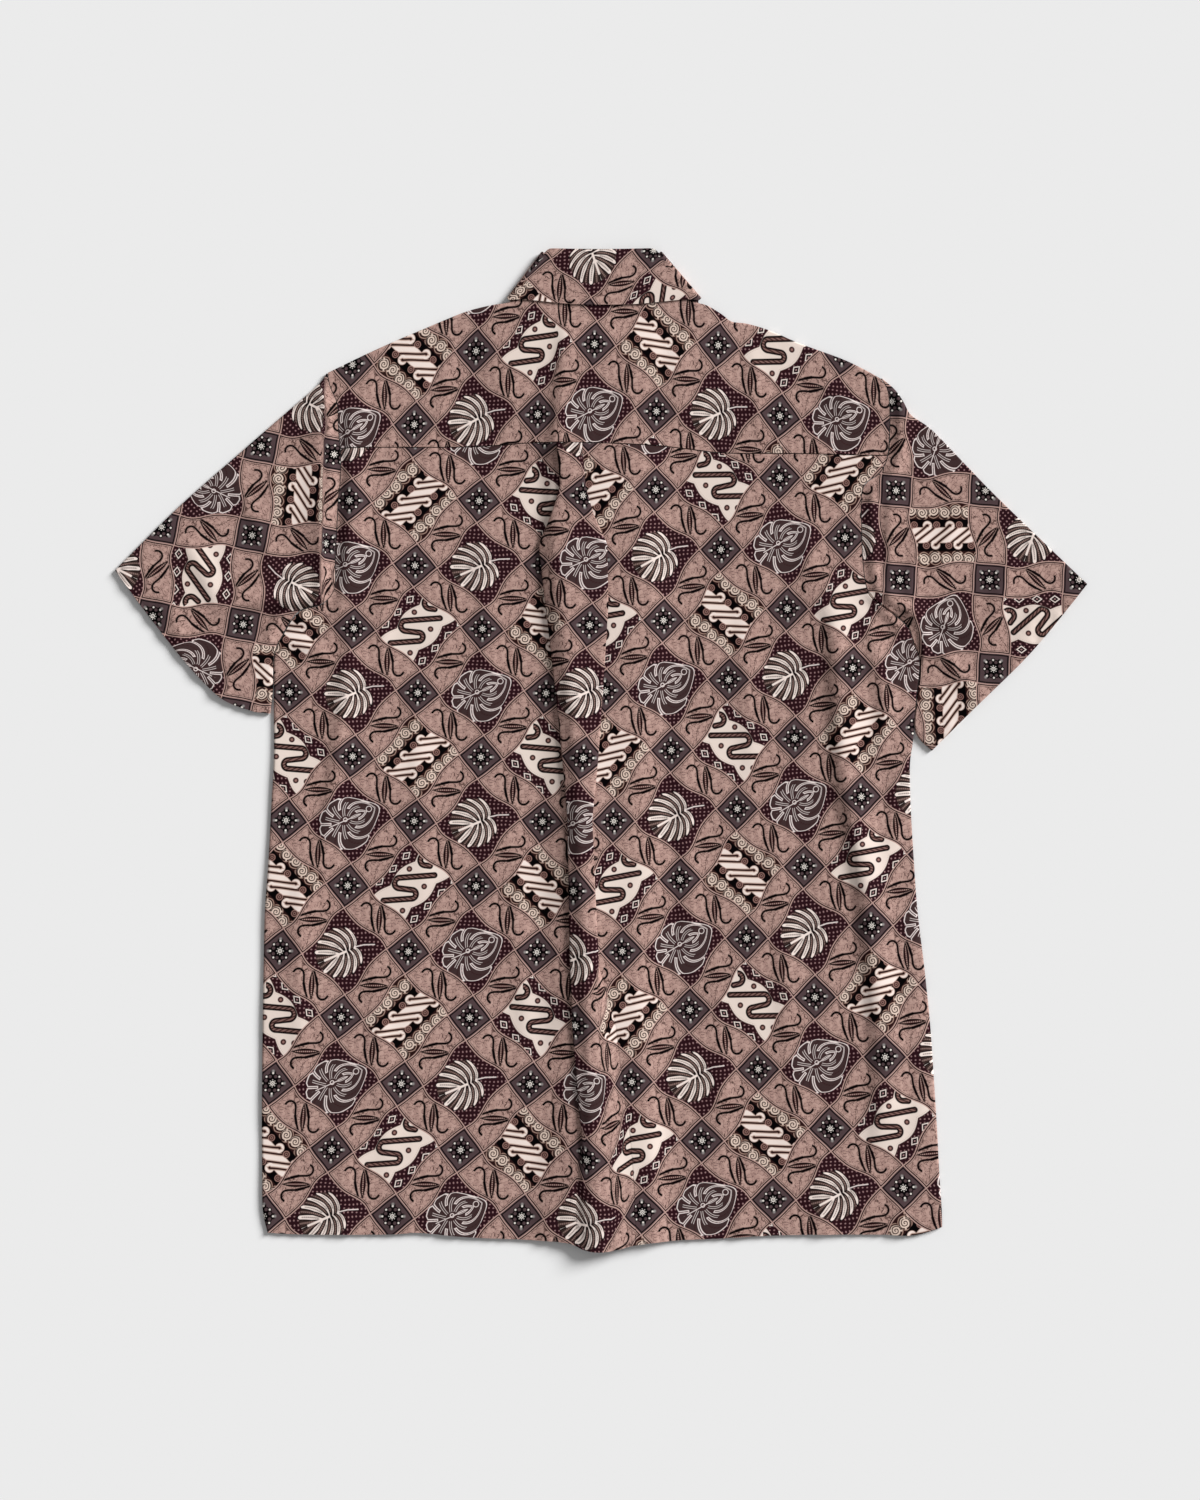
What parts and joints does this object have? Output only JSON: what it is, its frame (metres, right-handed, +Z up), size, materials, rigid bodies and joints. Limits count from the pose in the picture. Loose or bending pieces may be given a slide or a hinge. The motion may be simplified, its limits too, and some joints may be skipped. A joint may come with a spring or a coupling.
{
  "type": "batik shirt",
  "caption": "Short-sleeved batik shirt with a collar and a buttoned front, laid flat on its front with its back up; a yoke and a box pleat run across and down the back.",
  "frame": {"origin": "on the surface the shirt lies on, under the middle of its outline", "axes": "+X towards the sleeve on the right as one looks down at the back, +Y from the hem to the collar, +Z up from the surface"},
  "size_m": [0.777, 0.8011, 0.0104],
  "materials": {
    "printed_cotton": "matte",
    "button_plastic": "satin"
  },
  "bodies": {
    "root": {"back": "printed_cotton", "yoke": "printed_cotton", "front_left": "printed_cotton", "front_right": "printed_cotton", "sleeve_left": "printed_cotton", "sleeve_right": "printed_cotton", "collar_stand": "printed_cotton", "collar_fall": "printed_cotton", "button_collar": "button_plastic", "button_1": "button_plastic", "button_2": "button_plastic", "button_3": "button_plastic", "button_4": "button_plastic", "button_5": "button_plastic", "button_6": "button_plastic"}
  },
  "joints": []
}
